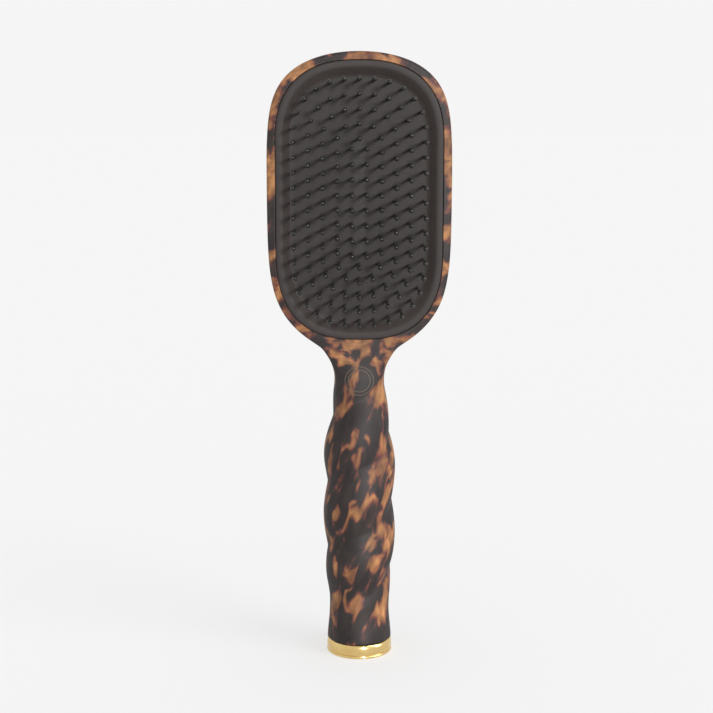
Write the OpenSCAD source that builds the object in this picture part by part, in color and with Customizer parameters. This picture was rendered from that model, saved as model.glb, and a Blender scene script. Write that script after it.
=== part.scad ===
// Vanity hairbrush: two moulded shells with a twisted handle, a rubber bed
// with five rings of ball-tipped pins, and a plated cap that it stands on.
// The base of the cap is at z = 0, the handle runs up Z and the pins face -Y.

/* [Head] */
// Height of the whole brush
brush_h = 240; // [200:1:280]
// Width of the head at its widest
head_w = 71.9; // [60:0.1:84]
// Height above which the sides turn in towards the top
high_z = 170; // [160:0.5:205]
// Power of that turn, where more keeps the sides straight for longer
high_power = 6.6; // [3:0.1:9]
// Squareness of the top corners
corner_power = 2.02; // [1.6:0.01:3]
// Height where the sides start to draw in
low_z = 223.8; // [190:0.1:230]
// Drop from there to the point where the sides would meet
low_drop = 104.1; // [70:0.1:120]
// Power of the draw-in, where more keeps the sides straight for longer
low_power = 8.5; // [3:0.1:10]
// Depth of the head in front of its parting plane
front_depth = 8; // [6:0.1:10]
// Depth of the head behind its parting plane
back_depth = 9; // [7:0.1:12]
// Radius of the front edge
edge_round = 1.3; // [0.8:0.1:2]
// Draft of the side wall from that edge to the parting plane
side_draft = 0.35; // [0:0.05:1]
// Wall of both shells
wall = 2.2; // [1.6:0.1:3]

/* [Handle] */
// Radius of the plain stem above the cap
stem_r = 12; // [10:0.1:14]
// Added radius of the twisted grip
grip_swell = 2.4; // [1:0.1:4]
// Radius lost from the grip to the neck
neck_draw = 5.75; // [3:0.05:6.5]
// Added half width where the neck opens into the head
neck_flare = 14.8; // [8:0.1:20]
// Added radius where the stem meets the cap
stem_flare = 0.9; // [0:0.1:2]
// Height of one full turn of the two strands
twist_pitch = 54.3; // [40:0.1:80]
// Height where a crease crosses the front
twist_z = 78.1; // [60:0.1:100]
// Extra rise of a crease towards the right side
twist_lean = 3.55; // [0:0.05:6]
// Extra drop of a crease on both sides
twist_bow = 2.75; // [0:0.05:6]
// Offset of each strand from the handle's axis
strand_offset = 1.65; // [0.5:0.05:4]

/* [Pin bed] */
// Width of the rubber bed between its joint lines
pad_w = 64.7; // [50:0.1:72]
// Rise of the bed above the head's centre line
pad_rise = 31.5; // [25:0.1:36]
// Height where the bed's sides start to draw in
pad_mid_z = 165; // [155:0.5:180]
// Height of the bed's lowest point
pad_low_z = 129.3; // [120:0.1:145]
// How far its margin stands in front of the rim
margin_proud = 0.5; // [0:0.1:1.5]
// Depth of its middle behind the rim
bed_drop = 1.9; // [1:0.1:4]
// Thickness of its skin
bed_t = 1.3; // [0.8:0.1:2]
// Width of the ledge that carries the margin
ledge_w = 3; // [2:0.1:4]

/* [Pins] */
// Pins in each ring, from the outer ring inwards
ring_counts = [44, 38, 32, 26, 18];
// Distance from one ring to the next
ring_pitch = 5.52; // [4.5:0.01:7]
// Distance from the joint line to the outer ring
ring_inset = 7.45; // [5.5:0.05:9]
// Length of a pin in front of the bed, to its ball's centre
pin_reach = 17.9; // [12:0.1:24]
// Radius of a pin
pin_r = 0.55; // [0.4:0.05:0.9]
// Radius of the ball tip
ball_r = 0.95; // [0.6:0.05:1.4]
// Radius of the flat head behind the bed
pin_head_r = 1.2; // [0.9:0.1:1.6]
// Clear gap around each pin in the bed
pin_gap = 0.3; // [0.1:0.05:0.5]

/* [End cap] */
// Radius of the cap
cap_r = 13.2; // [11:0.1:16]
// Height of the cap
cap_h = 5.8; // [4:0.1:10]
// Thickness of the cap's wall
cap_wall = 1.2; // [0.8:0.1:2]
// Radius of the plug that fills the handle's bore
plug_r = 9.4; // [7:0.1:10]
// Height of the plug above the cap
plug_h = 18; // [8:1:30]

/* [Fineness] */
// Points round a shell's section
section_points = 40; // [24:4:80]
// Height step of the sections in the handle
handle_step = 3.2; // [2:0.1:6]
// Points round the bed
pad_points = 72; // [36:4:120]

/* [Hidden] */
$fn = 48;
head_mid_z = brush_h - 35;
half_w = head_w / 2;
pad_half = pad_w / 2;
rim_y = -front_depth;
bed_y = rim_y + bed_drop;
bed_back_y = bed_y + bed_t;
ledge_y = rim_y + 2.7;
ledge_t = 2;
backing_y = bed_back_y + 0.3;
backing_t = 1;
pin_head_y = backing_y + backing_t + 0.05;
pin_head_t = 0.75;
plug_bore_r = plug_r + 0.05;
shell_foot_z = cap_h;

// Heights from and to which each change of the outline takes place
stem_flare_z = [5, 18];
swell_z = [18.5, 43.5];
draw_z = [77.6, 124.7];
neck_flare_z = [108.5, 147.6];
strand_in_z = [17.4, 30.7];
strand_out_z = [103.6, 114.4];
head_blend_z = [98, 127];
shoulder_z = 126;
head_step = 6;

// Shares of the way round a side where face, edge and side wall of the head end
face_end = 0.25;
edge_end = 0.4;
side_end = 0.5;

// Squareness of the back's section, its top and the bed's two ends
back_power = 2.6;
crown_power = 2.4;
pad_top_power = 2.5;
pad_low_power = 2.6;

// Softness of the fillet between head and neck, and of the creases
fillet = 2.2;
crease_soft = 0.02;

// Reach of ledge, gussets and ribs towards the outside, short of the surface
weld = 0.6;
rib_count = 5;
rib_z = 148;
rib_pitch = 16;
gusset_count = 12;

// Insets of the bed's skin, the backing and the frame's inner edge
skin_inset = 5.8;
backing_inset = 5.6;
frame_inset = 5.1;
ring_steps = 240;

// ---- Rules for the outlines ----

// Eased step from 0 at the start of a span to 1 at its end
function ease(span, z) =
  let(t = min(max((z - span[0]) / (span[1] - span[0]), 0), 1)) t * t * (3 - 2 * t);

// Envelope radius of the handle
function grip_r(z) =
  stem_r + grip_swell * ease(swell_z, z) - neck_draw * ease(draw_z, z)
  + stem_flare * (1 - ease(stem_flare_z, z));

// Offset of the strands, which fades out at both ends of the grip
function strand(z) = strand_offset * ease(strand_in_z, z) * (1 - ease(strand_out_z, z));

// Turn of the strands at height z, as met at angle a from the front
function turn(z, a) =
  360 * (z + twist_lean * sin(a) - twist_bow * (1 - cos(a)) - twist_z) / twist_pitch + 90;

// Half width of the head alone, less an inset
function head_half(z, inset) =
  let(
    low = max(low_z - z, 0) / (low_drop - inset),
    high = max(z - high_z, 0) / (brush_h - high_z - inset)
  )
  (half_w - inset) * max(1 - pow(low, low_power), 0)
    * pow(max(1 - pow(high, high_power), 0), 1 / corner_power);

// Half width of head and handle together, joined by a soft fillet
function body_half(z, inset) =
  let(a = head_half(z, inset), b = grip_r(z) + neck_flare * ease(neck_flare_z, z) - inset)
  z > head_mid_z ? max(a, 0.8) : (a + b + sqrt(pow(a - b, 2) + fillet)) / 2;

// Depth of the head's front face, which rounds off at the top
function front_d(z, inset) =
  let(u = max(z - (brush_h - edge_round), 0) / edge_round)
  front_depth - inset - edge_round * (1 - sqrt(max(1 - u * u, 0)));

// Depth of the head's back
function back_d(z, inset) =
  let(u = max(z - head_mid_z, 0) / (brush_h - head_mid_z))
  max((back_depth - inset) * pow(max(1 - pow(u, crown_power), 0), 1 / crown_power), 0.5);

// Point of the round or stranded handle's section at angle a from the front
function round_point(z, a, inset, stranded) =
  let(
    d = stranded ? strand(z) : 0,
    s = (stranded ? grip_r(z) : grip_r(z) - strand(z)) - d - inset,
    b = a - turn(z, a),
    r = d * sqrt(pow(cos(b), 2) + crease_soft) + sqrt(s * s - pow(d * sin(b), 2))
  )
  [r * sin(a), -r * cos(a)];

// Point of the head's section: flat face, rounded edge, side wall, domed back
function head_point(z, a, inset) =
  let(
    side = a > 180 ? -1 : 1,
    t = (a > 180 ? 360 - a : a) / 180,
    w = body_half(z, inset),
    e = min(edge_round, w / 4),
    d = min(side_draft, w / 8),
    f = front_d(z, inset),
    round_a = 90 * (t - face_end) / (edge_end - face_end),
    side_a = 90 * (t - edge_end) / (side_end - edge_end),
    back_a = 90 * (t - side_end) / (1 - side_end),
    q = t < face_end ? (w - e - d) * t / face_end
      : t < edge_end ? w - e - d + e * sin(round_a)
      : t < side_end ? w - d + d * sin(side_a)
      : w * pow(max(cos(back_a), 0), 2 / back_power),
    y = t < face_end ? -f
      : t < edge_end ? -f + e * (1 - cos(round_a))
      : t < side_end ? -(f - e) * (1 - side_a / 90)
      : back_d(z, inset) * pow(sin(back_a), 2 / back_power)
  )
  [side * q, y];

// One closed section of the body at height z
function section(z, inset, stranded) =
  let(m = ease(head_blend_z, z))
  [for (i = [0 : section_points - 1])
    let(
      a = 360 * i / section_points,
      r = round_point(z, a, inset, stranded),
      h = head_point(z, a, inset)
    )
    [(1 - m) * r[0] + m * h[0], (1 - m) * r[1] + m * h[1], z]];

// Heights of the sections: even in the handle and closer towards the top
function heights(z0, z1) = [
  for (z = [z0 : handle_step : shoulder_z]) z,
  for (z = [shoulder_z + 4 : head_step : head_mid_z - 3]) z,
  for (b = [0 : 9 : 81]) head_mid_z + (z1 - head_mid_z) * sin(b),
  head_mid_z + (z1 - head_mid_z) * sin(86),
  z1
];

// ---- Solids that several pieces share ----

// Closed loft through the body's sections
module loft(z0, z1, inset, stranded) {
  zs = heights(z0, z1);
  n = section_points;
  last = (len(zs) - 1) * n;
  points = [for (z = zs) each section(z, inset, stranded)];
  sides = [
    for (k = [0 : len(zs) - 2])
      for (i = [0 : n - 1])
        let(j = (i + 1) % n)
        each [
          [k * n + i, k * n + n + i, k * n + j],
          [k * n + j, k * n + n + i, k * n + n + j]
        ]
  ];
  foot = [for (i = [0 : n - 1]) i];
  crown = [for (i = [n - 1 : -1 : 0]) last + i];
  polyhedron(points, concat(sides, [foot, crown]), convexity = 8);
}

// Outline of the bed, less an inset, as X and Z
function pad_point(a, inset) =
  let(
    up = sin(a) >= 0,
    p = up ? pad_top_power : pad_low_power,
    mid = up ? head_mid_z : pad_mid_z,
    rise = (up ? pad_rise : pad_mid_z - pad_low_z) - inset,
    c = pow(abs(cos(a)), 2 / p),
    s = pow(abs(sin(a)), 2 / p)
  )
  [(pad_half - inset) * c * (cos(a) < 0 ? -1 : 1), mid + rise * s * (up ? 1 : -1)];

function pad_outline(inset, n = pad_points) =
  [for (i = [0 : n - 1]) pad_point(360 * (i + 0.5) / n, inset)];

// A flat plate between two depths in the shape of an outline
module plate(y0, y1) {
  translate([0, y1, 0])
    rotate([90, 0, 0])
      linear_extrude(y1 - y0)
        children();
}

module pad_shape(inset) {
  polygon(pad_outline(inset));
}

module pad_band(outer, inner) {
  difference() {
    pad_shape(outer);
    pad_shape(inner);
  }
}

// Everything behind or in front of the parting plane
module half_space(side) {
  translate([-60, side > 0 ? 0 : -40, -10])
    cube([120, 40, brush_h + 20]);
}

// ---- Shells ----

module shell_solid() {
  difference() {
    loft(shell_foot_z, brush_h, 0, true);
    loft(shell_foot_z - 4, brush_h - 1.6 * wall, wall, false);
  }
  // Thick foot round the plug's bore
  translate([0, 0, shell_foot_z])
    cylinder(r = grip_r(10) - 0.6, h = plug_h - 4);
}

module plug_bore() {
  translate([0, 0, shell_foot_z - 1])
    cylinder(r = plug_bore_r, h = plug_h + 1.2);
}

module front_shell() {
  color([0.24, 0.17, 0.14])
    difference() {
      union() {
        intersection() {
          shell_solid();
          half_space(-1);
        }
        // Ledge that carries the bed's margin
        intersection() {
          plate(ledge_y - 0.1, ledge_y + ledge_t) pad_band(-1.6, ledge_w);
          loft(shell_foot_z, brush_h, weld, false);
        }
        // Gussets behind the ledge
        intersection() {
          for (i = [0 : gusset_count - 1]) {
            p = pad_point(360 * (i + 0.5) / gusset_count, 1);
            q = pad_point(360 * (i + 0.5) / gusset_count, -2);
            hull() {
              translate([q[0], -0.6, q[1]]) rotate([90, 0, 0]) cylinder(r = 0.7, h = 3, $fn = 8);
              translate([p[0], -2.4, p[1]]) rotate([90, 0, 0]) cylinder(r = 0.7, h = 1.5, $fn = 8);
            }
          }
          loft(shell_foot_z, brush_h, weld, false);
        }
      }
      plate(rim_y - 1, ledge_y) pad_shape(0);
      plate(rim_y - 1, ledge_y + ledge_t + 0.2) pad_shape(ledge_w);
      plug_bore();
    }
}

module back_shell() {
  color([0.24, 0.17, 0.14])
    difference() {
      union() {
        intersection() {
          shell_solid();
          half_space(1);
        }
        // Cross ribs inside the back
        intersection() {
          for (i = [0 : rib_count - 1]) {
            z = rib_z + i * rib_pitch;
            w = body_half(z, wall) - 4;
            for (side = [-1, 1])
              hull() {
                translate([side * 2, 12, z]) rotate([90, 0, 0]) cylinder(r = 0.8, h = 8.5, $fn = 8);
                translate([side * w, 12, z]) rotate([90, 0, 0]) cylinder(r = 0.8, h = 8.5, $fn = 8);
              }
          }
          loft(shell_foot_z, brush_h, weld, false);
        }
      }
      plug_bore();
    }
}

// ---- Pin bed ----

// Margin and slope: inset and depth of each corner of the band's section
function band_profile() = [
  [0.15, ledge_y - 0.1],
  [0.15, rim_y - margin_proud + 0.6],
  [0.45, rim_y - margin_proud + 0.15],
  [1.1, rim_y - margin_proud],
  [2.5, rim_y - margin_proud + 0.05],
  [3.4, rim_y - margin_proud + 0.45],
  [4.8, bed_y - 0.8],
  [5.6, bed_y - 0.2],
  [6.1, bed_y],
  [6.1, bed_back_y],
  [ledge_w + 0.4, bed_back_y],
  [ledge_w + 0.4, ledge_y - 0.1]
];

module bed_band() {
  profile = band_profile();
  n = pad_points;
  m = len(profile);
  points = [
    for (i = [0 : n - 1])
      for (p = profile)
        let(q = pad_point(360 * (i + 0.5) / n, p[0]))
        [q[0], p[1], q[1]]
  ];
  faces = [
    for (i = [0 : n - 1])
      for (k = [0 : m - 1])
        let(i2 = (i + 1) % n, k2 = (k + 1) % m)
        each [
          [i * m + k, i * m + k2, i2 * m + k],
          [i2 * m + k, i * m + k2, i2 * m + k2]
        ]
  ];
  polyhedron(points, faces, convexity = 6);
}

module pin_bed() {
  color([0.27, 0.26, 0.25]) {
    bed_band();
    plate(bed_y, bed_back_y)
      difference() {
        pad_shape(skin_inset);
        for (k = [0 : len(ring_counts) - 1])
          for (p = ring_places(k)) translate(p) circle(pin_r + pin_gap);
      }
  }
}

module bed_frame() {
  color([0.12, 0.12, 0.12]) {
    plate(ledge_y + ledge_t + 0.1, ledge_y + ledge_t + 1.4) pad_band(1.6, frame_inset);
    plate(bed_back_y + 0.1, ledge_y + ledge_t + 0.7) pad_band(ledge_w + 0.3, frame_inset);
  }
}

// ---- Pins ----

// Closed curve of one ring, as points from the top centre round to the right
function ring_curve(k) =
  let(inset = ring_inset + k * ring_pitch)
  [for (i = [0 : ring_steps]) pad_point(90 - 360 * i / ring_steps, inset)];

// Running length along a curve
function lengths(c, i = 0, sum = 0, out = [0]) =
  i >= len(c) - 1 ? out
  : let(s = sum + norm(c[i + 1] - c[i])) lengths(c, i + 1, s, concat(out, [s]));

// Point at a given length along a curve
function at_length(c, run, s) =
  let(
    i = min(search_run(run, s, 0, len(run) - 1), len(c) - 2),
    t = (s - run[i]) / max(run[i + 1] - run[i], 0.000001)
  )
  c[i] + (c[i + 1] - c[i]) * t;

function search_run(run, s, lo, hi) =
  hi - lo <= 1 ? lo
  : let(mid = floor((lo + hi) / 2)) run[mid] <= s ? search_run(run, s, mid, hi)
  : search_run(run, s, lo, mid);

// Places of a ring's pins, evenly spaced along its curve
function ring_places(k) =
  let(c = ring_curve(k), run = lengths(c), total = run[len(run) - 1], n = ring_counts[k])
  [for (i = [0 : n - 1]) at_length(c, run, total * i / n)];

module pin() {
  rotate([90, 0, 0]) {
    translate([0, 0, -pin_head_y - pin_head_t])
      cylinder(r = pin_head_r, h = pin_head_t);
    translate([0, 0, -pin_head_y - pin_head_t / 2])
      cylinder(r = pin_r, h = pin_reach - bed_y + pin_head_y + pin_head_t / 2);
    translate([0, 0, pin_reach - bed_y])
      sphere(r = ball_r);
  }
}

module pins_ring(k) {
  color([0.05, 0.05, 0.05])
    for (p = ring_places(k)) translate([p[0], 0, p[1]]) pin();
}

module pins_ring_1() {
  pins_ring(0);
}

module pins_ring_2() {
  pins_ring(1);
}

module pins_ring_3() {
  pins_ring(2);
}

module pins_ring_4() {
  pins_ring(3);
}

module pins_ring_5() {
  pins_ring(4);
}

module pin_backing() {
  color([0.35, 0.35, 0.33])
    plate(backing_y, backing_y + backing_t)
      difference() {
        pad_shape(backing_inset);
        for (k = [0 : len(ring_counts) - 1])
          for (p = ring_places(k)) translate(p) circle(pin_r + 0.05);
      }
}

// ---- Handle end ----

module end_plug() {
  color([0.1, 0.1, 0.1]) {
    translate([0, 0, cap_wall + 0.1])
      cylinder(r = cap_r - cap_wall - 0.15, h = cap_h - cap_wall - 0.2);
    translate([0, 0, cap_wall + 1])
      cylinder(r = plug_r, h = cap_h + plug_h - cap_wall - 2);
  }
}

module end_cap() {
  color([0.8, 0.64, 0.32])
    rotate_extrude()
      difference() {
        union() {
          square([cap_r - 1.1, cap_h]);
          translate([0, 0.6]) square([cap_r - 0.15, cap_h - 1.5]);
          translate([0, 1.8]) square([cap_r - 0.05, cap_h - 3.6]);
          // Rolled bead at the foot
          square([cap_r - 0.6, 1.2]);
          translate([cap_r - 0.6, 0.6]) circle(0.6);
          polygon([
            [0, cap_h - 1.4],
            [cap_r - 0.1, cap_h - 1.4],
            [cap_r - 0.3, cap_h - 0.5],
            [cap_r - 0.9, cap_h],
            [0, cap_h]
          ]);
        }
        translate([-1, cap_wall]) square([cap_r - cap_wall + 1, cap_h]);
      }
}

front_shell();
back_shell();
pin_bed();
bed_frame();
pin_backing();
pins_ring_1();
pins_ring_2();
pins_ring_3();
pins_ring_4();
pins_ring_5();
end_plug();
end_cap();
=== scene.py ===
import math

import bmesh
import bpy
import numpy as np
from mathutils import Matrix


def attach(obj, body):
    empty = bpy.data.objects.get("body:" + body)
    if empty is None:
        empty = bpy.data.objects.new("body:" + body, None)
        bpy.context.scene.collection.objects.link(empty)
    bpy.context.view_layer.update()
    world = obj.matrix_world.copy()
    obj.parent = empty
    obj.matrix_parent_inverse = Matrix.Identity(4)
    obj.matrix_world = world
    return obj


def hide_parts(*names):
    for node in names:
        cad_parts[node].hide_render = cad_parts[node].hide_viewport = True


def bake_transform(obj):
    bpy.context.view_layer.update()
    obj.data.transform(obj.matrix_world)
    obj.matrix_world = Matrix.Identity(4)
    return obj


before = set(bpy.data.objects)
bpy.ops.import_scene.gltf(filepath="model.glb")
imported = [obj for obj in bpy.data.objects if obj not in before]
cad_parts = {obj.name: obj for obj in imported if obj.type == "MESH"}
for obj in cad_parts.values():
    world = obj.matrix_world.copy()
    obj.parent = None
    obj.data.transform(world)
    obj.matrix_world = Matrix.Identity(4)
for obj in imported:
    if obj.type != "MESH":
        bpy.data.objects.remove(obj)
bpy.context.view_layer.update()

print("frame loaded:", ", ".join(sorted(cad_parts)))

mm = 0.001
halfTurn = math.pi


# Shared rules for the brush's outline, in millimetres, as in the part

head = {
    "top": 240.0,         # height of the brush
    "halfWidth": 35.95,
    "midZ": 205.0,        # above this the surface fans round the top
    "highZ": 170.0,       # above this the sides start to turn in towards the top
    "highPower": 6.6,
    "cornerPower": 2.02,
    "lowZ": 223.8,        # under this the sides start to draw in
    "lowDrop": 104.1,
    "lowPower": 8.5,      # more keeps the sides straight for longer
    "frontDepth": 8.0,
    "backDepth": 9.0,
    "backSquare": 2.6,
    "edgeRound": 1.3,     # radius of the front edge
    "rimFall": 0.5,       # how far the rim falls back towards that edge
    "sideDraft": 0.35,    # lean of the side wall from there to the parting plane
    "flatFrom": 126.5,    # the front face is flat above this height
    "roundTo": 98.0,      # and the section is round or stranded below this one
    "fillet": 2.2,        # softness of the join between head and neck
    "faceEnd": 0.25,      # shares of the way round a side where the face,
    "edgeEnd": 0.4,       # the rounded edge
    "sideEnd": 0.5,       # and the side wall end
    "wall": 1.6,
}

grip = {
    "footZ": 5.8,
    "stemRadius": 12.0,
    "swell": 2.4,
    "neckDraw": 5.75,
    "neckFlare": 14.8,    # opening of the neck into the head
    "stemFlare": 0.9,
    "pitch": 54.3,        # one full turn of the two strands
    "creaseZ": 78.1,      # where a crease crosses the front
    "lean": 3.55,         # extra rise of a crease towards the right
    "bow": 2.75,          # extra drop of a crease on both sides
    "strand": 1.65,       # offset of a strand from the axis
    "creaseSoft": 0.002,  # less gives sharper creases
    # heights from and to which each change takes place
    "stemFlareZ": (5.0, 18.0),
    "swellZ": (18.5, 43.5),
    "drawZ": (77.6, 124.7),
    "neckFlareZ": (108.5, 147.6),
    "strandInZ": (17.4, 30.7),
    "strandOutZ": (103.6, 114.4),
}

bed = {
    "halfWidth": 32.35,
    "rise": 31.5,
    "midZ": 165.0,        # under this the bed's sides start to draw in
    "lowZ": 129.3,
    "topSquare": 2.5,
    "lowSquare": 2.6,
    "middleY": -6.1,      # depth of the flat middle
    "skin": 1.0,          # thickness of the rubber there
    "loops": 288,
}

pins = {
    "counts": (44, 38, 32, 26, 18),
    "ringPitch": 5.52,
    "ringInset": 7.45,
    "reach": 17.9,        # bed to the centre of the ball
    "sunk": 0.9,          # how far a pin goes on behind the bed's face
    "baseRadius": 0.60,
    "straight": 0.3,      # height to which the foot keeps that radius
    "neckRadius": 0.50,
    "neckDown": 1.35,     # how far under the ball's centre the taper ends
    "ballRadius": 0.95,
    "sides": 9,
}

cap = {"radius": 13.2, "height": 5.8, "bead": 0.6, "bulge": 0.15, "sides": 128}


def ease(span, z):
    # 0 under the span, 1 over it, with a soft start and end: 3t^2 - 2t^3
    t = np.clip((z - span[0]) / (span[1] - span[0]), 0, 1)
    return t * t * (3 - 2 * t)


def gripRadius(z):
    # stem radius, plus the grip's swelling, less the neck, plus the flare above the cap
    return (grip["stemRadius"] + grip["swell"] * ease(grip["swellZ"], z)
            - grip["neckDraw"] * ease(grip["drawZ"], z)
            + grip["stemFlare"] * (1 - ease(grip["stemFlareZ"], z)))


def strandOffset(z):
    # the strands' offset, which fades out at both ends of the grip
    return grip["strand"] * ease(grip["strandInZ"], z) * (1 - ease(grip["strandOutZ"], z))


def headHalf(z):
    # the sides draw in below by 1 - low^power, and turn in above by (1 - high^power)^(1 / corner power)
    low = np.clip((head["lowZ"] - z) / head["lowDrop"], 0, 1)
    high = np.clip((z - head["highZ"]) / (head["top"] - head["highZ"]), 0, 1)
    return (head["halfWidth"] * (1 - low ** head["lowPower"])
            * (1 - high ** head["highPower"]) ** (1 / head["cornerPower"]))


def bodyHalf(z):
    # soft maximum of the head and the flared neck: (a + b + sqrt((a - b)^2 + fillet)) / 2
    a, b = headHalf(z), gripRadius(z) + grip["neckFlare"] * ease(grip["neckFlareZ"], z)
    return (a + b + np.sqrt((a - b) ** 2 + head["fillet"])) / 2


def topReach(beta):
    # distance from the middle of the fan to the outline, at an angle above the horizontal
    z = head["top"] - (head["top"] - head["midZ"]) * np.linspace(1, 0, 4001) ** 2
    x = headHalf(z)
    return np.interp(beta, np.arctan2(z - head["midZ"], x), np.hypot(x, z - head["midZ"]))


def stations():
    # the spine's stations: height, angle above the horizontal, and distance to the edge
    neckZ, shoulderZ = 118, 150  # the rows lie closer together between these heights
    z = np.concatenate([
        np.linspace(grip["footZ"], neckZ, 150)[:-1],
        np.linspace(neckZ, head["flatFrom"], 13)[:-1],
        np.linspace(head["flatFrom"], shoulderZ, 28)[:-1],
        np.linspace(shoulderZ, head["midZ"], 34),
    ])
    beta = np.linspace(0, halfTurn / 2, 46)[1:]
    return (np.concatenate([z, np.full(beta.size, head["midZ"])]),
            np.concatenate([np.zeros(z.size), beta]),
            np.concatenate([bodyHalf(z), topReach(beta)]), z.size)


def partOf(t, a, b):
    # how far t has gone from a to b: 0 before, 1 after
    return np.clip((t - a) / (b - a), 0, 1)


def bodySection(z, reach, t, side):
    # A section from front (t = 0) round one side (side = 1 right, -1 left) to the back (t = 1).
    # Handle: two round strands about the axis. Head: flat face, rounded edge, side wall, domed back.
    z, reach = z[:, None], reach[:, None]
    t = t[None, :]
    a = side * t * halfTurn
    level = z + grip["lean"] * np.sin(a) - grip["bow"] * (1 - np.cos(a)) - grip["creaseZ"]
    turn = 2 * halfTurn * level / grip["pitch"] + halfTurn / 2
    d = strandOffset(z)
    s = gripRadius(z) - d
    r = (d * np.sqrt(np.cos(a - turn) ** 2 + grip["creaseSoft"])
         + np.sqrt(s * s - (d * np.sin(a - turn)) ** 2))
    roundQ, roundY = r * np.sin(np.abs(a)), -r * np.cos(a)
    edge = np.minimum(head["edgeRound"], reach / 4)
    draft = np.minimum(head["sideDraft"], reach / 8)
    facePart = partOf(t, 0, head["faceEnd"])
    turnIn = partOf(t, head["faceEnd"], head["edgeEnd"]) * halfTurn / 2
    wallPart = partOf(t, head["edgeEnd"], head["sideEnd"])
    q = np.where(t < head["faceEnd"], (reach - edge - draft) * facePart,
                 reach - draft - edge + edge * np.sin(turnIn))
    q = q + draft * np.sin(wallPart * halfTurn / 2)
    y = -head["frontDepth"] + edge * (1 - np.cos(turnIn)) + head["rimFall"] * facePart ** 3
    y = y * (1 - wallPart)
    back = partOf(t, head["sideEnd"], 1) * halfTurn / 2
    p = 2 / head["backSquare"]
    q = np.where(t > head["sideEnd"], reach * np.clip(np.cos(back), 0, 1) ** p, q)
    y = np.where(t > head["sideEnd"], head["backDepth"] * np.sin(back) ** p, y)
    m = ease((head["roundTo"], head["flatFrom"]), z)
    return (1 - m) * roundQ + m * q, (1 - m) * roundY + m * y


def placed(z, beta, q, y, side):
    # a point lies q from the spine, at angle beta above the horizontal, and y deep
    x = side * q * np.cos(beta)[:, None]
    return np.stack([x, np.broadcast_to(y, x.shape), z[:, None] + q * np.sin(beta)[:, None]], -1)


def padCurve(a, inset):
    # the bed's outline at angle a, less an inset: half of one rounded square above, half of another below
    up = np.sin(a) >= 0
    p = np.where(up, bed["topSquare"], bed["lowSquare"])
    mid = np.where(up, head["midZ"], bed["midZ"])
    rise = np.where(up, bed["rise"], bed["midZ"] - bed["lowZ"]) - inset
    x = (bed["halfWidth"] - inset) * np.abs(np.cos(a)) ** (2 / p) * np.sign(np.cos(a))
    return x, mid + rise * np.abs(np.sin(a)) ** (2 / p) * np.where(up, 1, -1)


# Mesh helpers

joinWithin = 0.004        # corners this close become one
tinyEdge = 0.001          # shorter edges are taken out


def gridQuads(rows, cols, closed=False):
    # every cell of a grid as four corner numbers; a closed grid joins its last column to its first
    r, c = np.meshgrid(np.arange(rows - 1), np.arange(cols if closed else cols - 1), indexing="ij")
    c2 = (c + 1) % cols
    corners = [r * cols + c, r * cols + c2, (r + 1) * cols + c2, (r + 1) * cols + c]
    return np.stack(corners, -1).reshape(-1, 4)


def makePiece(name, blocks, body, replaced, outward=None):
    # blocks are grids of points; they are joined where they meet, then put into one mesh
    points, quads, start = [], [], 0
    for grid, closed in blocks:
        points.append(grid.reshape(-1, 3))
        quads.append(gridQuads(grid.shape[0], grid.shape[1], closed) + start)
        start += grid.shape[0] * grid.shape[1]
    mesh = bpy.data.meshes.new(name)
    mesh.from_pydata(np.concatenate(points) * mm, [], np.concatenate(quads))
    shape = bmesh.new()
    shape.from_mesh(mesh)
    bmesh.ops.remove_doubles(shape, verts=shape.verts, dist=joinWithin * mm)
    bmesh.ops.dissolve_degenerate(shape, edges=shape.edges, dist=tinyEdge * mm)
    bmesh.ops.recalc_face_normals(shape, faces=shape.faces)
    if outward is not None:  # an open shell may come out reversed
        far = max(shape.faces, key=lambda f: f.calc_center_median().dot(outward))
        if far.normal.dot(outward) < 0:
            bmesh.ops.reverse_faces(shape, faces=shape.faces)
    shape.to_mesh(mesh)
    shape.free()
    mesh.polygons.foreach_set("use_smooth", np.ones(len(mesh.polygons), bool))
    piece = bpy.data.objects.new(name, mesh)
    bpy.context.scene.collection.objects.link(piece)
    if body:
        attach(piece, body)
    if replaced:
        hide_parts(*replaced)
    return piece


def giveWall(piece, thickness):
    # a wall of even thickness, inwards from the surface
    wall = piece.modifiers.new("wall", "SOLIDIFY")
    wall.thickness = thickness * mm
    wall.offset = -1
    return wall


# Shells

partingGroove = 0.07      # how far both shells draw in where they meet
partingHalf = 0.02        # and half the gap that is left between them
sectionPoints = 49        # points from the front to the parting plane, and on to the back
bedCentre = 184.0         # the rim's points fan out from this height
spineZ, spineBeta, spineReach, lowCount = stations()
flatRow = int(np.argmin(np.abs(spineZ[:lowCount] - head["flatFrom"])))


def sideGrid(rows, t, side):
    # one side of the body: a section at every chosen row of the spine
    q, y = bodySection(spineZ[rows], spineReach[rows], t, side)
    edge = np.abs(t - head["sideEnd"]) < 1e-9
    q = np.where(edge[None, :], q - partingGroove, q)
    y = np.where(edge[None, :], partingHalf if t[0] >= head["sideEnd"] else -partingHalf, y)
    return placed(spineZ[rows], spineBeta[rows], q, y, side)


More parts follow.
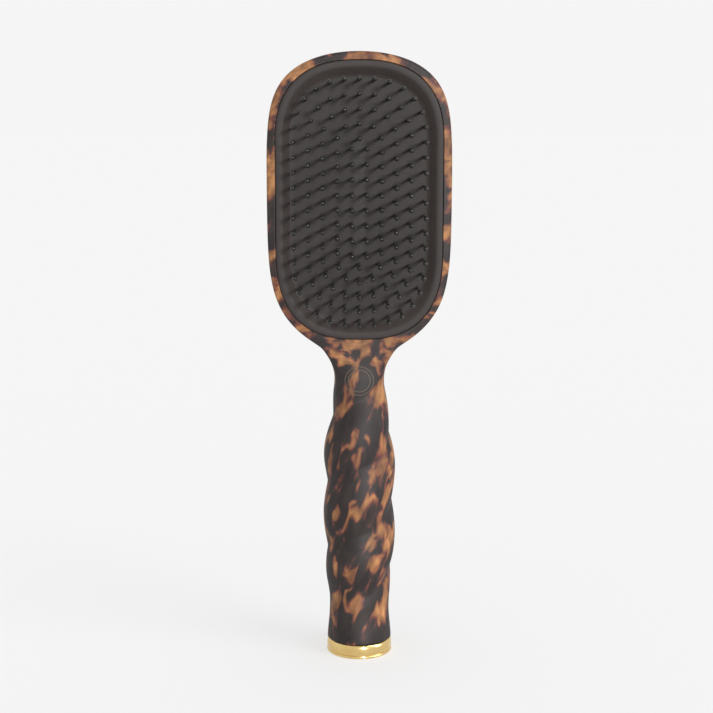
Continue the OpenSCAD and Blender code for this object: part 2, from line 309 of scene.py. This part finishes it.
def frontShell():
    # the neck and handle up to the flat face, then the head's rounded edge and the rim round the bed
    low, high = np.arange(flatRow + 1), np.arange(flatRow, spineZ.size)
    t = np.linspace(0, head["sideEnd"], sectionPoints)
    faceCount = int(np.count_nonzero(t <= head["faceEnd"]))
    rightGrip, leftGrip = sideGrid(low, t, 1), sideGrid(low, t, -1)
    edgeT = t[t >= head["faceEnd"]]
    rightEdge, leftEdge = sideGrid(high, edgeT, 1), sideGrid(high, edgeT, -1)
    # the flat face is a ring between the rounded edge and the bed's opening, where a lip turns in
    outer = np.concatenate([
        rightEdge[:, 0], leftEdge[::-1, 0][1:],
        leftGrip[-1, :faceCount][::-1][1:], rightGrip[-1, :faceCount][1:-1],
    ])
    angles = np.arctan2(outer[:, 2] - bedCentre, outer[:, 0])
    # the lip's steps: inset from the bed's outline and drop behind the face
    lip = ((-0.34, 0.0), (-0.22, 0.01), (-0.12, 0.04), (-0.04, 0.12), (0.0, 0.24), (0.0, 2.6))
    loops = [outer, 0.5 * outer + 0.5 * padAt(angles, lip[0][0], -head["frontDepth"])]
    loops += [padAt(angles, inset, -head["frontDepth"] + drop) for inset, drop in lip]
    blocks = [(grid, False) for grid in (rightGrip, leftGrip, rightEdge, leftEdge)]
    return makePiece("FrontShell", blocks + [(np.stack(loops), True)], "brush_body", ["front_shell"],
                     outward=(0, -1, 0))


def padLoop(inset, y):
    # the outline as a closed loop that mirrors left to right
    a = (np.arange(bed["loops"]) + 0.5) / bed["loops"] * 2 * halfTurn
    x, z = padCurve(a, inset)
    return np.stack([x, np.full(x.shape, y), z], -1)


def padAt(angles, inset, y):
    # points of the outline seen at given angles from the bed's centre
    x, z = padCurve(np.linspace(-halfTurn, halfTurn, 7201), inset)
    seen = np.arctan2(z - bedCentre, x)
    order = np.argsort(seen)
    x = np.interp(angles, seen[order], x[order], period=2 * halfTurn)
    z = np.interp(angles, seen[order], z[order], period=2 * halfTurn)
    return np.stack([x, np.full(x.shape, y), z], -1)


def backShell():
    # both sides from the parting plane round to the middle of the back
    rows = np.arange(spineZ.size)
    t = np.linspace(head["sideEnd"], 1, sectionPoints)
    return makePiece("BackShell", [(sideGrid(rows, t, 1), False), (sideGrid(rows, t, -1), False)],
                     "brush_body", ["back_shell"], outward=(0, 1, 0))


# Rubber bed

def towardSpine(loop, part):
    # draws a loop in towards the upright line through the bed's middle
    middle = np.stack([0 * loop[:, 0], loop[:, 1], np.clip(loop[:, 2], bed["midZ"], head["midZ"])], -1)
    return loop + part * (middle - loop)


def pinBed():
    # the outline carried inwards: outer wall, raised margin, slope, flat middle, then the underside
    flat = bed["middleY"]
    margin = ((0.15, -7.2), (0.15, -7.95), (0.22, -8.2), (0.40, -8.38), (0.72, -8.47), (1.2, -8.5),
              (2.0, -8.5))
    slope = ((2.6, -8.43), (3.1, -8.24), (3.6, -7.92), (4.2, -7.44), (4.8, -6.92), (5.3, -6.52),
             (5.7, -6.28))
    middle = tuple((inset, flat) for inset in (6.6, 8, 11, 15, 19, 23))
    steps = margin + slope + ((6.1, flat - 0.03),) + middle
    skin = tuple((inset, flat + bed["skin"]) for inset in (23, 15, 7))
    under = skin + ((5.4, -5.4), (3.8, -6.5), (2.2, -7.4))
    top = [padLoop(inset, y) for inset, y in steps]
    low = [padLoop(inset, y) for inset, y in under + steps[:1]]
    grid = np.stack(top + [towardSpine(top[-1], part) for part in (0.35, 0.7, 1)]
                    + [towardSpine(low[0], part) for part in (1, 0.6)] + low)
    piece = makePiece("PinBed", [(grid, True)], None, ["pin_bed"])
    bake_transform(piece)
    return piece


# Pins

def ringPlaces(k):
    # the ring's curve from its top round to the right, cut into equal lengths
    a = np.linspace(halfTurn / 2, -1.5 * halfTurn, 2401)
    x, z = padCurve(a, pins["ringInset"] + k * pins["ringPitch"])
    run = np.concatenate([[0], np.cumsum(np.hypot(np.diff(x), np.diff(z)))])
    at = np.arange(pins["counts"][k]) / pins["counts"][k] * run[-1]
    return np.stack([np.interp(at, run, x), np.interp(at, run, z)], -1)


def pinProfile():
    # distance from the bed and radius: tapered shaft, then a ball
    r = pins["ballRadius"]
    ball = np.radians([-52, -22, 12, 48, 78])
    shaft = [(-pins["sunk"], pins["baseRadius"]), (pins["straight"], pins["baseRadius"]),
             (pins["reach"] - pins["neckDown"], pins["neckRadius"])]
    return np.array(shaft + [(pins["reach"] + r * math.sin(b), r * math.cos(b)) for b in ball])


def pinRing(k):
    # one turned profile copied to every place of the ring
    places, profile = ringPlaces(k), pinProfile()
    a = np.linspace(0, 2 * halfTurn, pins["sides"], endpoint=False)
    n, rows, sides = len(places), len(profile), a.size
    x = places[:, None, None, 0] + profile[None, :, None, 1] * np.cos(a)
    z = places[:, None, None, 1] + profile[None, :, None, 1] * np.sin(a)
    y = np.broadcast_to(bed["middleY"] - profile[None, :, None, 0], x.shape)
    points = np.stack([x, y, z], -1).reshape(n, rows * sides, 3)
    tipY, footY = bed["middleY"] - pins["reach"] - pins["ballRadius"], bed["middleY"] + pins["sunk"]
    tip = np.stack([places[:, 0], np.full(n, tipY), places[:, 1]], -1)
    foot = np.stack([places[:, 0], np.full(n, footY), places[:, 1]], -1)
    points = np.concatenate([points, tip[:, None], foot[:, None]], 1)
    each = rows * sides + 2
    quads = gridQuads(rows, sides, True)
    around = np.arange(sides)
    nextOne = (around + 1) % sides
    top = (rows - 1) * sides
    tipFan = np.stack([top + around, top + nextOne, np.full(sides, each - 2)], -1)
    footFan = np.stack([nextOne, around, np.full(sides, each - 1)], -1)
    starts = np.arange(n)[:, None, None] * each
    faces = (quads[None] + starts).reshape(-1, 4).tolist()
    for fan in (tipFan, footFan):
        faces += (fan[None] + starts).reshape(-1, 3).tolist()
    mesh = bpy.data.meshes.new(f"PinRing{k + 1}")
    mesh.from_pydata(points.reshape(-1, 3) * mm, [], faces)
    mesh.polygons.foreach_set("use_smooth", np.ones(len(mesh.polygons), bool))
    shape = bmesh.new()
    shape.from_mesh(mesh)
    bmesh.ops.recalc_face_normals(shape, faces=shape.faces)
    shape.to_mesh(mesh)
    shape.free()
    piece = bpy.data.objects.new(mesh.name, mesh)
    bpy.context.scene.collection.objects.link(piece)
    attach(piece, "pin_field")
    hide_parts(f"pins_ring_{k + 1}")
    return piece


# End cap

def endCap():
    # a turned profile: flat base, rolled bead, slightly bulged wall, bevelled top, inner step
    r, h, bead = cap["radius"], cap["height"], cap["bead"]
    foot = np.radians(np.linspace(-90, 75, 12))
    outline = [(0.02, 0.0), (6.0, 0.0), (r - 1.6, 0.0)]
    outline += [(r - bead + bead * math.cos(b), bead + bead * math.sin(b)) for b in foot]
    for v in np.linspace(0, 1, 9):
        bulge = cap["bulge"] * math.sin(halfTurn * v) ** 0.8
        outline.append((r - 0.2 + bulge - 0.1 * v, 1.35 + (h - 2.4) * v))
    # the bevel's and the step's corners: how far in from the wall, and down from the top
    bevel = ((0.42, 0.75), (0.62, 0.45), (0.95, 0.14), (1.2, 0.04), (1.5, 0.02), (1.5, 0.6))
    outline += [(r - inward, h - under) for inward, under in bevel] + [(0.02, h - 0.6)]
    outline = np.array(outline)
    a = np.linspace(0, 2 * halfTurn, cap["sides"], endpoint=False)
    radius = outline[:, :1]
    height = np.broadcast_to(outline[:, 1:], (len(outline), a.size))
    grid = np.stack([radius * np.cos(a), radius * np.sin(a), height], -1)
    grid[0, :, :2] = 0
    grid[-1, :, :2] = 0
    return makePiece("EndCap", [(grid, True)], "brush_body", ["end_cap"])


# Materials

def newMaterial(name):
    # an empty material with its node tree and its shader
    material = bpy.data.materials.new(name)
    material.use_nodes = True
    tree = material.node_tree
    shader = next(n for n in tree.nodes if n.type == "BSDF_PRINCIPLED")
    return material, tree, shader


def addNode(tree, kind, settings=None, **inputs):
    # n0, n1 and so on name an input by its place; a value that is a socket is joined on
    node = tree.nodes.new(kind)
    for key, value in (settings or {}).items():
        setattr(node, key, value)
    for key, value in inputs.items():
        socket = node.inputs[int(key[1:])] if key[0] == "n" and key[1:].isdigit() else node.inputs[key]
        if isinstance(value, bpy.types.NodeSocket):
            tree.links.new(value, socket)
        else:
            socket.default_value = value
    return node


def objectPoint(tree):
    return addNode(tree, "ShaderNodeTexCoord").outputs["Object"]


def stretched(tree, vector, scale, turn=(0, 0, 0), shift=(0, 0, 0)):
    return addNode(tree, "ShaderNodeMapping", Vector=vector, Location=shift, Scale=scale,
                   Rotation=turn).outputs["Vector"]


def noise(tree, vector, scale, detail=2.0, roughness=0.5, distortion=0.0):
    return addNode(tree, "ShaderNodeTexNoise", Vector=vector, Scale=scale, Detail=detail,
                   Roughness=roughness, Distortion=distortion)


def maths(tree, operation, a, b=0.0, c=0.0, clamp=False):
    settings = {"operation": operation, "use_clamp": clamp}
    return addNode(tree, "ShaderNodeMath", settings, n0=a, n1=b, n2=c).outputs[0]


def vectors(tree, operation, a, **inputs):
    return addNode(tree, "ShaderNodeVectorMath", {"operation": operation}, n0=a, **inputs).outputs[0]


def ramp(tree, factor, stops, interpolation="LINEAR"):
    node = addNode(tree, "ShaderNodeValToRGB", Fac=factor)
    node.color_ramp.interpolation = interpolation
    elements = node.color_ramp.elements
    while len(elements) < len(stops):
        elements.new(0.5)
    for element, (place, colour) in zip(elements, stops):
        element.position = place
        element.color = (*colour, 1)
    return node.outputs["Color"]


def mixColour(tree, factor, a, b, blend="MIX"):
    node = tree.nodes.new("ShaderNodeMix")
    node.data_type = "RGBA"
    node.blend_type = blend
    for socket, value in zip((node.inputs[0], node.inputs[6], node.inputs[7]), (factor, a, b)):
        if isinstance(value, bpy.types.NodeSocket):
            tree.links.new(value, socket)
        else:
            socket.default_value = value if isinstance(value, float) else (*value, 1)
    return node.outputs[2]


def bump(tree, height, strength, distance):
    node = addNode(tree, "ShaderNodeBump", Height=height, Strength=strength, Distance=distance)
    return node.outputs["Normal"]


tortoise = {
    "dark": (0.0125, 0.0080, 0.0070),
    "darkWarm": (0.022, 0.012, 0.0105),
    "red": (0.074, 0.020, 0.015),
    "brown": (0.115, 0.042, 0.019),
    "amber": (0.164, 0.067, 0.025),
    "honey": (0.232, 0.104, 0.038),
    "patchScale": 195.0,
    "warp": 0.011,        # metres by which the patches' edges wander
    "warpScale": 95.0,
    "gather": 0.14,       # how much the patches gather in groups
    "gatherScale": 42.0,
    "cover": 0.545,       # noise level where a patch begins; more gives fewer patches
    "lean": 18,           # degrees that the patches lean to the right
    "tallness": 0.44,     # scale along the handle, where less gives taller patches
    "shift": (-0.17, 0.11, 0.031),  # metres, where another value gives another pattern
    "roundFrom": 118.0,   # above this height the patches are as wide as tall
    "headScale": 120.0,   # patch scale on the head
    "headMore": 0.055,    # how much more of the head is covered
    "headFrom": (122.0, 138.0),     # heights between which the handle's patches give way to them
    "cloudScale": 260.0,
    "cloud": (2.2, -0.12),          # contrast and level of the clouds
    "streakScale": 520.0,
    "streak": (0.7, 0.65),          # contrast and level of the streaks
    "roughness": 0.52,
    "specular": 0.34,
}

neckMotif = {"z": 113.0, "radii": (5.6, 4.3), "width": 0.32, "ink": (0.060, 0.042, 0.030)}


def tortoiseshell():
    # warped noise, stretched along the handle: dark ground, red-brown edges, amber patches with fine streaks
    material, tree, shader = newMaterial("satin tortoiseshell")
    point = objectPoint(tree)
    split = addNode(tree, "ShaderNodeSeparateXYZ", Vector=point)
    leaning = stretched(tree, point, (1, 1, 1), (0, math.radians(-tortoise["lean"]), 0), tortoise["shift"])
    own = addNode(tree, "ShaderNodeSeparateXYZ", Vector=leaning)
    above = maths(tree, "SUBTRACT", split.outputs["Z"], tortoise["roundFrom"] * mm)
    above = maths(tree, "MAXIMUM", above, 0.0)
    height = maths(tree, "MULTIPLY_ADD", own.outputs["Z"], tortoise["tallness"],
                   maths(tree, "MULTIPLY", above, 1 - tortoise["tallness"]))
    even = addNode(tree, "ShaderNodeCombineXYZ", X=own.outputs["X"], Y=own.outputs["Y"], Z=height).outputs[0]
    warp = noise(tree, even, tortoise["warpScale"], 2.0).outputs["Color"]
    warp = vectors(tree, "SUBTRACT", warp, n1=(0.5, 0.5, 0.5))
    bent = vectors(tree, "ADD", even, n1=vectors(tree, "SCALE", warp, Scale=tortoise["warp"]))
    patch = noise(tree, bent, tortoise["patchScale"], 2.5, 0.45, 0.25).outputs["Fac"]
    cluster = noise(tree, even, tortoise["gatherScale"], 1.0).outputs["Fac"]
    gather = maths(tree, "MULTIPLY", maths(tree, "SUBTRACT", cluster, 0.5), tortoise["gather"])
    level = maths(tree, "ADD", patch, gather)
    # the head has broader patches, and more of them
    low, high = tortoise["headFrom"]
    steep = 1 / (high - low)
    onHead = maths(tree, "MULTIPLY_ADD", split.outputs["Z"], steep / mm, -low * steep, clamp=True)
    broad = noise(tree, bent, tortoise["headScale"], 2.0, 0.45, 0.25).outputs["Fac"]
    step = maths(tree, "SUBTRACT", maths(tree, "ADD", broad, tortoise["headMore"]), level)
    level = maths(tree, "MULTIPLY_ADD", onHead, step, level)
    c = tortoise["cover"]
    colour = ramp(tree, level, [
        (0.0, tortoise["dark"]), (c - 0.08, tortoise["dark"]), (c - 0.035, tortoise["darkWarm"]),
        (c - 0.005, tortoise["red"]), (c + 0.022, tortoise["brown"]), (c + 0.06, tortoise["amber"]),
        (c + 0.15, tortoise["honey"]),
    ])
    # clouds darken some patches and lighten others, and fine streaks run up them
    cloud = noise(tree, bent, tortoise["cloudScale"], 2.0).outputs["Fac"]
    shade = maths(tree, "MULTIPLY_ADD", cloud, *tortoise["cloud"])
    upward = stretched(tree, leaning, (1, 1, 0.14))
    streak = noise(tree, upward, tortoise["streakScale"], 3.0, 0.6).outputs["Fac"]
    shade = maths(tree, "MULTIPLY", shade, maths(tree, "MULTIPLY_ADD", streak, *tortoise["streak"]))
    grey = addNode(tree, "ShaderNodeCombineColor", Red=shade, Green=shade, Blue=shade).outputs[0]
    colour = mixColour(tree, 1.0, colour, grey, "MULTIPLY")
    # plain print on the neck: fine rings, only on the front
    dx, dz = split.outputs["X"], maths(tree, "SUBTRACT", split.outputs["Z"], neckMotif["z"] * mm)
    square = maths(tree, "ADD", maths(tree, "MULTIPLY", dx, dx), maths(tree, "MULTIPLY", dz, dz))
    away = maths(tree, "SQRT", square)
    rings = 0.0
    for radius in neckMotif["radii"]:
        off = maths(tree, "ABSOLUTE", maths(tree, "SUBTRACT", away, radius * mm))
        line = maths(tree, "LESS_THAN", off, neckMotif["width"] / 2 * mm)
        rings = maths(tree, "MAXIMUM", rings, line)
    front = maths(tree, "LESS_THAN", split.outputs["Y"], -2 * mm)
    ink = maths(tree, "MULTIPLY", rings, front)
    colour = mixColour(tree, ink, colour, neckMotif["ink"])
    tree.links.new(colour, shader.inputs["Base Color"])
    grain = noise(tree, point, 2600, 2.0).outputs["Fac"]
    smear = noise(tree, point, 60, 2.0).outputs["Fac"]
    rough = maths(tree, "MULTIPLY_ADD", smear, 0.10, tortoise["roughness"])
    rough = maths(tree, "MULTIPLY_ADD", grain, 0.05, rough)
    tree.links.new(rough, shader.inputs["Roughness"])
    tree.links.new(bump(tree, grain, 0.08, 0.00003), shader.inputs["Normal"])
    shader.inputs["Specular IOR Level"].default_value = tortoise["specular"]
    return material


rubberLook = {
    "dark": (0.0138, 0.0106, 0.0096),
    "light": (0.0188, 0.0145, 0.0132),
    "roughness": 0.52,
    "specular": 0.28,
    "slopeY": (-8.5, -6.0),  # depths between which the slope, with its painted light, lies
    "slopePaintedLight": 1.85,   # painted light: how much lighter the slope is painted
}


def bedRubber():
    # matt rubber: a fine moulded grain and a slight bloom in broad patches, with painted light on the slope
    # and a little on the margin
    material, tree, shader = newMaterial("matt bed rubber")
    point = objectPoint(tree)
    bloom = noise(tree, point, 45, 3.0).outputs["Fac"]
    grain = noise(tree, point, 3200, 2.0).outputs["Fac"]
    colour = ramp(tree, bloom, [(0.3, rubberLook["dark"]), (0.7, rubberLook["light"])])
    # painted light: the slope is painted much lighter and the raised margin a little lighter, standing in for
    # the light they catch
    depth = addNode(tree, "ShaderNodeSeparateXYZ", Vector=point).outputs["Y"]
    topY, bedY = rubberLook["slopeY"]
    steep = 1 / (bedY - topY)
    down = maths(tree, "MULTIPLY_ADD", depth, steep / mm, -topY * steep)
    slope = ramp(tree, down, [(0.04, (0.2,) * 3), (0.30, (1,) * 3), (0.86, (1,) * 3), (0.96, (0,) * 3)])
    colour = mixColour(tree, slope, colour, (rubberLook["slopePaintedLight"],) * 3, "MULTIPLY")
    tree.links.new(colour, shader.inputs["Base Color"])
    rough = maths(tree, "MULTIPLY_ADD", grain, 0.15, rubberLook["roughness"])
    tree.links.new(rough, shader.inputs["Roughness"])
    tree.links.new(bump(tree, grain, 0.15, 0.00004), shader.inputs["Normal"])
    shader.inputs["Specular IOR Level"].default_value = rubberLook["specular"]
    return material


nylonLook = {
    "dark": (0.004, 0.004, 0.004),
    "light": (0.009, 0.0085, 0.008),
    "roughness": 0.10,
    "specular": 0.35,
}


def pinNylon():
    # glossy black nylon with a slight flow grain along each pin
    material, tree, shader = newMaterial("gloss pin nylon")
    point = objectPoint(tree)
    flow = noise(tree, stretched(tree, point, (1, 0.1, 1)), 2400, 2.0).outputs["Fac"]
    colour = ramp(tree, flow, [(0.3, nylonLook["dark"]), (0.7, nylonLook["light"])])
    tree.links.new(colour, shader.inputs["Base Color"])
    rough = maths(tree, "MULTIPLY_ADD", flow, 0.08, nylonLook["roughness"])
    tree.links.new(rough, shader.inputs["Roughness"])
    shader.inputs["Specular IOR Level"].default_value = nylonLook["specular"]
    return material


goldLook = {"deep": (0.69, 0.485, 0.185), "pale": (0.76, 0.55, 0.24), "roughness": 0.13}


def goldPlating():
    # polished plating: faint round turning marks and a little haze
    material, tree, shader = newMaterial("polished gold plating")
    point = objectPoint(tree)
    haze = noise(tree, point, 160, 3.0).outputs["Fac"]
    turned = noise(tree, stretched(tree, point, (0.2, 0.2, 8)), 900, 1.0).outputs["Fac"]
    colour = ramp(tree, haze, [(0.3, goldLook["deep"]), (0.7, goldLook["pale"])])
    tree.links.new(colour, shader.inputs["Base Color"])
    tree.links.new(maths(tree, "MULTIPLY_ADD", haze, 0.08, goldLook["roughness"]), shader.inputs["Roughness"])
    tree.links.new(bump(tree, turned, 0.05, 0.00002), shader.inputs["Normal"])
    shader.inputs["Metallic"].default_value = 1.0
    return material


def hiddenPlastic(name, dark, light):
    # grained plastic or foam for the pieces inside
    material, tree, shader = newMaterial(name)
    point = objectPoint(tree)
    grain = noise(tree, point, 700, 3.0).outputs["Fac"]
    tree.links.new(ramp(tree, grain, [(0.3, dark), (0.7, light)]), shader.inputs["Base Color"])
    tree.links.new(maths(tree, "MULTIPLY_ADD", grain, 0.2, 0.5), shader.inputs["Roughness"])
    tree.links.new(bump(tree, grain, 0.2, 0.00005), shader.inputs["Normal"])
    return material


brushPieces = []


def dress(piece, material):
    # gives a piece its finish and its slot, and lists it for the lamps
    brushPieces.append(piece)
    piece.data.materials.clear()
    piece.data.materials.append(material)


shellFinish = tortoiseshell()
front = frontShell()
giveWall(front, head["wall"])
dress(front, shellFinish)
back = backShell()
giveWall(back, head["wall"])
dress(back, shellFinish)
print("shells made:", len(front.data.polygons), "and", len(back.data.polygons), "faces")

rubber = pinBed()
dress(rubber, bedRubber())
print("bed made:", len(rubber.data.polygons), "faces")

nylon = pinNylon()
for ring in range(len(pins["counts"])):
    dress(pinRing(ring), nylon)
print("pins made:", sum(pins["counts"]))

dress(endCap(), goldPlating())
inner = hiddenPlastic("inner plastic", (0.006, 0.006, 0.006), (0.013, 0.013, 0.013))
backing = hiddenPlastic("backing sheet", (0.03, 0.03, 0.028), (0.055, 0.055, 0.05))
for node, finish in (("bed_frame", inner), ("end_plug", inner), ("pin_backing", backing)):
    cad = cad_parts[node]
    cad.data.materials.clear()
    cad.data.materials.append(finish)
print("cap and inner pieces dressed")


# Floor, light and camera

studio = {
    "paper": 0.36,        # how much light the floor returns
    "paperTone": 0.006,   # and how much that varies
    "glow": 0.530,        # how much it gives by itself, like a light table
    "air": 0.915,         # brightness of the room's light
    "window": (0.75, 30, (0.75, -0.45, 0.80)),      # strength, softness in degrees, where it comes from
    "softbox": (3.1, 9, (0.29, -1.0, 0.16)),        # lights the brush alone
    "side": (1.1, 30, (1.0, -0.35, 0.25)),          # and so does this one
    "bounce": (0.7, 60, (-1.0, -0.6, 0.05)),        # softens the slope of the bed alone
}

eye = {"place": (-1.1, -548.5, 212.0), "down": 9.387, "lens": 70.69}


def floor():
    # a disc of paper round the origin, in rings that widen towards the horizon
    a = np.linspace(0, 2 * halfTurn, 96, endpoint=False)
    radius = np.array([0, 200, 400, 800, 1600, 4000, 12000, 40000])[:, None]
    grid = np.stack([radius * np.cos(a), radius * np.sin(a), np.zeros((radius.size, a.size))], -1)
    piece = makePiece("Floor", [(grid, True)], None, None, outward=(0, 0, 1))
    material, tree, shader = newMaterial("studio paper")
    tone = noise(tree, objectPoint(tree), 900, 2.0).outputs["Fac"]
    v, vary = studio["paper"], studio["paperTone"]
    colour = ramp(tree, tone, [(0.2, (v - vary,) * 3), (0.8, (v + vary,) * 3)])
    tree.links.new(colour, shader.inputs["Base Color"])
    shader.inputs["Roughness"].default_value = 0.9
    shader.inputs["Specular IOR Level"].default_value = 0.0
    shader.inputs["Emission Color"].default_value = (1, 1, 1, 1)
    shader.inputs["Emission Strength"].default_value = studio["glow"]
    piece.data.materials.append(material)


def light():
    # even air, a window for everything, and lamps that reach only the pieces given
    world = bpy.data.worlds.new("studio air")
    world.use_nodes = True
    sky = world.node_tree.nodes["Background"]
    sky.inputs["Color"].default_value = (1, 1, 1, 1)
    sky.inputs["Strength"].default_value = studio["air"]
    bpy.context.scene.world = world
    lamp("Window", *studio["window"])
    for name, pieces in (("softbox", brushPieces), ("side", brushPieces), ("bounce", [rubber])):
        lit = bpy.data.collections.new("lit by the " + name)
        for piece in pieces:
            lit.objects.link(piece)
        lamp(name, *studio[name]).light_linking.receiver_collection = lit


def lamp(name, strength, softness, toward):
    # a sun lamp turned so that its light arrives from the direction given
    sun = bpy.data.lights.new(name, "SUN")
    sun.energy = strength
    sun.angle = math.radians(softness)
    holder = bpy.data.objects.new(name, sun)
    toward = np.array(toward) / np.linalg.norm(toward)
    holder.rotation_euler = (math.acos(toward[2]), 0, math.atan2(toward[0], -toward[1]))
    bpy.context.scene.collection.objects.link(holder)
    return holder


def camera():
    # a level camera that looks down by a few degrees from in front of the head
    lens = bpy.data.cameras.new("View")
    lens.sensor_width = 36
    lens.lens = eye["lens"]
    lens.clip_start, lens.clip_end = 0.02, 100
    view = bpy.data.objects.new("View", lens)
    view.location = [v * mm for v in eye["place"]]
    view.rotation_euler = (math.radians(90 - eye["down"]), 0, 0)
    bpy.context.scene.collection.objects.link(view)
    bpy.context.scene.camera = view


floor()
light()
camera()
bpy.context.scene.view_settings.view_transform = "Standard"
print("studio ready")
